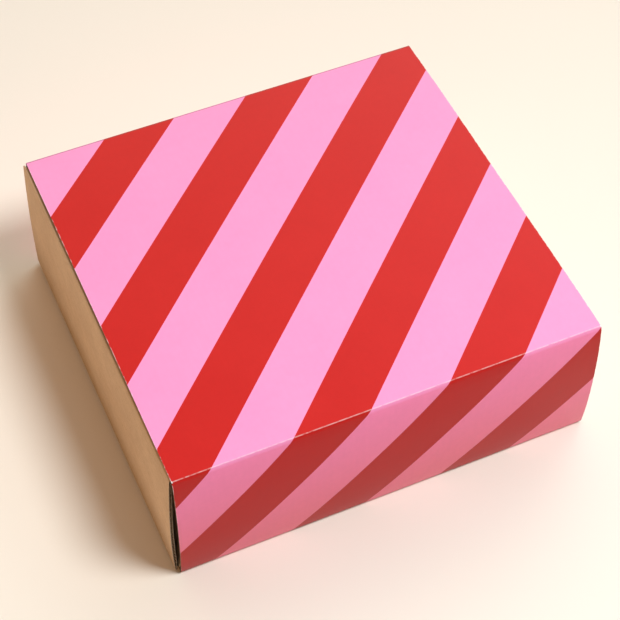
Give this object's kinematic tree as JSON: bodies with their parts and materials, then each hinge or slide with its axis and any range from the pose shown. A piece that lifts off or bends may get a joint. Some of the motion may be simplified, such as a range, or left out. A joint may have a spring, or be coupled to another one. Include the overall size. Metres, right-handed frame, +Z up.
{
  "type": "sleeved gift box",
  "caption": "Low square gift box of corrugated board: an open kraft tray with rolled ends that slides out of a striped printed sleeve.",
  "frame": {"origin": "on the table, under the middle of the box", "axes": "+Z up; X along the sleeve, the way the tray slides, with the open end seen in the picture at -X; -Y is the striped front panel"},
  "size_m": [0.243, 0.2406, 0.0905],
  "materials": {
    "printed_board": "satin print in red and pink diagonal bands over white-lined corrugated board, plain kraft inside",
    "kraft_board": "matt uncoated kraft corrugated board",
    "adhesive": "dried paper glue"
  },
  "bodies": {
    "sleeve": {"sleeve_top": "printed_board", "sleeve_front": "printed_board", "sleeve_back": "printed_board", "sleeve_bottom": "printed_board", "sleeve_glue_flap": "kraft_board", "sleeve_glue_line": "adhesive"},
    "tray": {"tray_base": "kraft_board", "tray_front_wall": "kraft_board", "tray_back_wall": "kraft_board", "left_end_outer": "kraft_board", "left_end_rim": "kraft_board", "left_end_inner": "kraft_board", "left_front_flap": "kraft_board", "left_back_flap": "kraft_board", "right_end_outer": "kraft_board", "right_end_rim": "kraft_board", "right_end_inner": "kraft_board", "right_front_flap": "kraft_board", "right_back_flap": "kraft_board"}
  },
  "joints": [
    {"name": "tray_slide", "type": "slide", "parent": "sleeve", "child": "tray", "axis": [1, 0, 0], "range_m": [-0.245, 0.245]}
  ]
}
